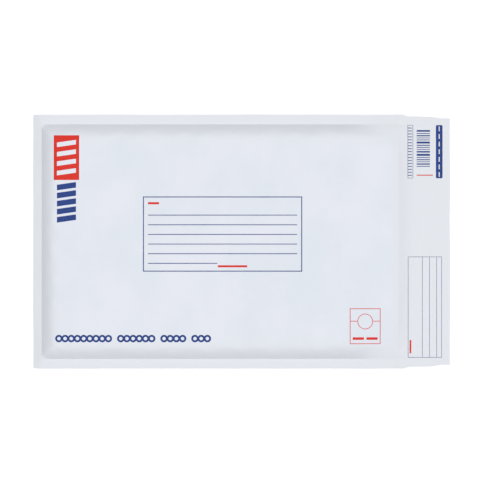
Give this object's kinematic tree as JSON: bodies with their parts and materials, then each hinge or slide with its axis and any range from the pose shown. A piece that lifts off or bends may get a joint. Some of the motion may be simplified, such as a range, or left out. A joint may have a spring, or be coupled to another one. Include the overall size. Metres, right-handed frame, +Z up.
{
  "type": "padded envelope",
  "caption": "Polythene mail bag lined with bubble film, lying face up and empty, with its self-seal flap open.",
  "frame": {"origin": "on the surface the bag lies on, below the middle of its outline", "axes": "+X along the bag from its sealed end to the flap, +Y across it to the printed corner's side, +Z up out of its front"},
  "size_m": [0.398, 0.242, 0.0103],
  "materials": {
    "polythene": "white pigmented film, soft gloss",
    "bubble_film": "clear bubble lining",
    "adhesive": "tacky hot melt strip",
    "release_paper": "smooth coated release liner",
    "navy_ink": "printed on the film",
    "red_ink": "printed on the film"
  },
  "bodies": {
    "root": {"address_code_mark_print": "red_ink", "address_frame_print": "navy_ink", "address_mark_print": "red_ink", "address_rule_1_print": "navy_ink", "address_rule_2_print": "navy_ink", "address_rule_3_print": "navy_ink", "address_rule_4_print": "navy_ink", "address_rule_5_print": "navy_ink", "address_rule_6_print": "navy_ink", "adhesive_strip": "adhesive", "back_bubble_liner": "bubble_film", "back_film": "polythene", "caption_chain_1_print": "navy_ink", "caption_chain_2_print": "navy_ink", "caption_chain_3_print": "navy_ink", "caption_chain_4_print": "navy_ink", "corner_bar_1_print": "navy_ink", "corner_bar_2_print": "navy_ink", "corner_bar_3_print": "navy_ink", "corner_bar_4_print": "navy_ink", "corner_bar_5_print": "navy_ink", "corner_block_print": "red_ink", "front_bubble_liner": "bubble_film", "front_film": "polythene", "label_bar_print": "navy_ink", "label_mark_print": "red_ink", "label_stripe_10_print": "navy_ink", "label_stripe_11_print": "navy_ink", "label_stripe_12_print": "navy_ink", "label_stripe_13_print": "navy_ink", "label_stripe_14_print": "navy_ink", "label_stripe_15_print": "navy_ink", "label_stripe_16_print": "navy_ink", "label_stripe_1_print": "navy_ink", "label_stripe_2_print": "navy_ink", "label_stripe_3_print": "navy_ink", "label_stripe_4_print": "navy_ink", "label_stripe_5_print": "navy_ink", "label_stripe_6_print": "navy_ink", "label_stripe_7_print": "navy_ink", "label_stripe_8_print": "navy_ink", "label_stripe_9_print": "navy_ink", "label_tab_print": "navy_ink", "release_liner": "release_paper", "sender_frame_print": "navy_ink", "sender_mark_print": "red_ink", "stamp_band_1_print": "red_ink", "stamp_band_2_print": "red_ink", "stamp_box_print": "red_ink"}
  },
  "joints": []
}
